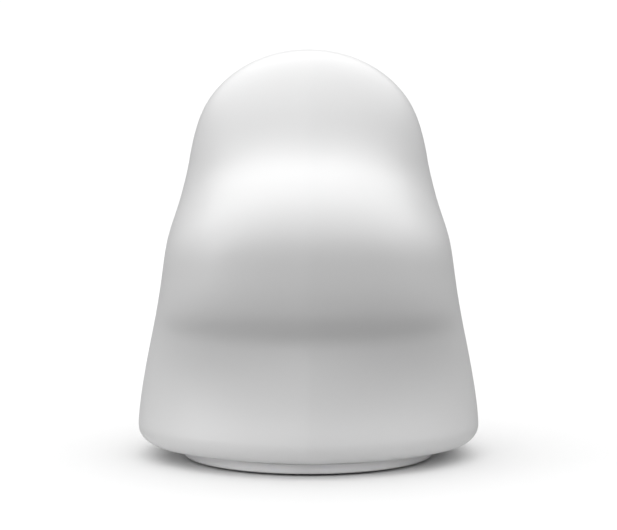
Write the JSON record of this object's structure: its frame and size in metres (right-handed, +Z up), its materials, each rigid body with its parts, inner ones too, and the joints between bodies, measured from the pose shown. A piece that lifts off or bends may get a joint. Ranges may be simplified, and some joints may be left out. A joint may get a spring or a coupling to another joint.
{
  "type": "mesh wifi node",
  "caption": "Tall white desktop network node: a domed, browed housing on a round glowing foot, with jacks and buttons in a bay at the back.",
  "frame": {"origin": "on the surface the node stands on, under the middle of its round foot", "axes": "+Z up, -Y out of the front, +Y out of the jacks, +X to the right seen from the front"},
  "size_m": [0.1162, 0.1097, 0.1387],
  "materials": {
    "white_shell": "satin moulded",
    "bay_white": "matte moulded",
    "frosted_ring": "frosted, lets light through",
    "pale_base": "matte moulded",
    "grey_rubber": "matte",
    "screw_steel": "zinc plated",
    "chassis_plastic": "matte moulded",
    "board_green": "satin solder resist",
    "chip_black": "matte epoxy",
    "thermal_grey": "matte",
    "sink_aluminium": "extruded",
    "shield_steel": "tin plated",
    "can_aluminium": "drawn",
    "led_white": "satin",
    "jack_black": "matte moulded",
    "lead_black": "satin jacket"
  },
  "bodies": {
    "node": {"antenna_1": "board_green", "antenna_2": "board_green", "antenna_3": "board_green", "antenna_4": "board_green", "antenna_frame": "chassis_plastic", "antenna_lead_1": "lead_black", "antenna_lead_2": "lead_black", "antenna_lead_3": "lead_black", "antenna_lead_4": "lead_black", "base_plate": "pale_base", "base_screw_1": "screw_steel", "base_screw_2": "screw_steel", "base_screw_3": "screw_steel", "base_screw_4": "screw_steel", "board_screw_1": "screw_steel", "board_screw_2": "screw_steel", "board_screw_3": "screw_steel", "board_screw_4": "screw_steel", "capacitor_1": "can_aluminium", "capacitor_2": "can_aluminium", "capacitor_3": "can_aluminium", "chassis": "chassis_plastic", "ethernet_transformer_1": "chip_black", "ethernet_transformer_2": "chip_black", "foot_pad_1": "grey_rubber", "foot_pad_2": "grey_rubber", "foot_pad_3": "grey_rubber", "foot_pad_4": "grey_rubber", "frame_screw_1": "screw_steel", "frame_screw_2": "screw_steel", "front_shell": "white_shell", "heat_sink": "sink_aluminium", "heat_sink_screw_1": "screw_steel", "heat_sink_screw_2": "screw_steel", "lan_contact_block": "jack_black", "lan_jack": "shield_steel", "light_ring": "frosted_ring", "main_board": "board_green", "main_chip": "chip_black", "port_bay": "bay_white", "power_jack": "jack_black", "power_jack_pin": "screw_steel", "radio_shield_left": "shield_steel", "radio_shield_right": "shield_steel", "rear_cover": "white_shell", "reset_switch": "jack_black", "status_led_1": "led_white", "status_led_2": "led_white", "status_led_3": "led_white", "status_led_4": "led_white", "sync_switch": "jack_black", "thermal_pad": "thermal_grey", "wan_contact_block": "jack_black", "wan_jack": "shield_steel"},
    "sync": {"sync_button": "bay_white", "sync_plunger": "jack_black"},
    "reset": {"reset_plunger": "jack_black"}
  },
  "joints": [
    {"name": "sync_press", "type": "slide", "parent": "node", "child": "sync", "axis": [0, -1, 0], "range_m": [0, 0.0005], "stiffness_N_per_m": 400, "springref_m": -0.001},
    {"name": "reset_press", "type": "slide", "parent": "node", "child": "reset", "axis": [0, -1, 0], "range_m": [0, 0.0003], "stiffness_N_per_m": 400, "springref_m": -0.001}
  ]
}
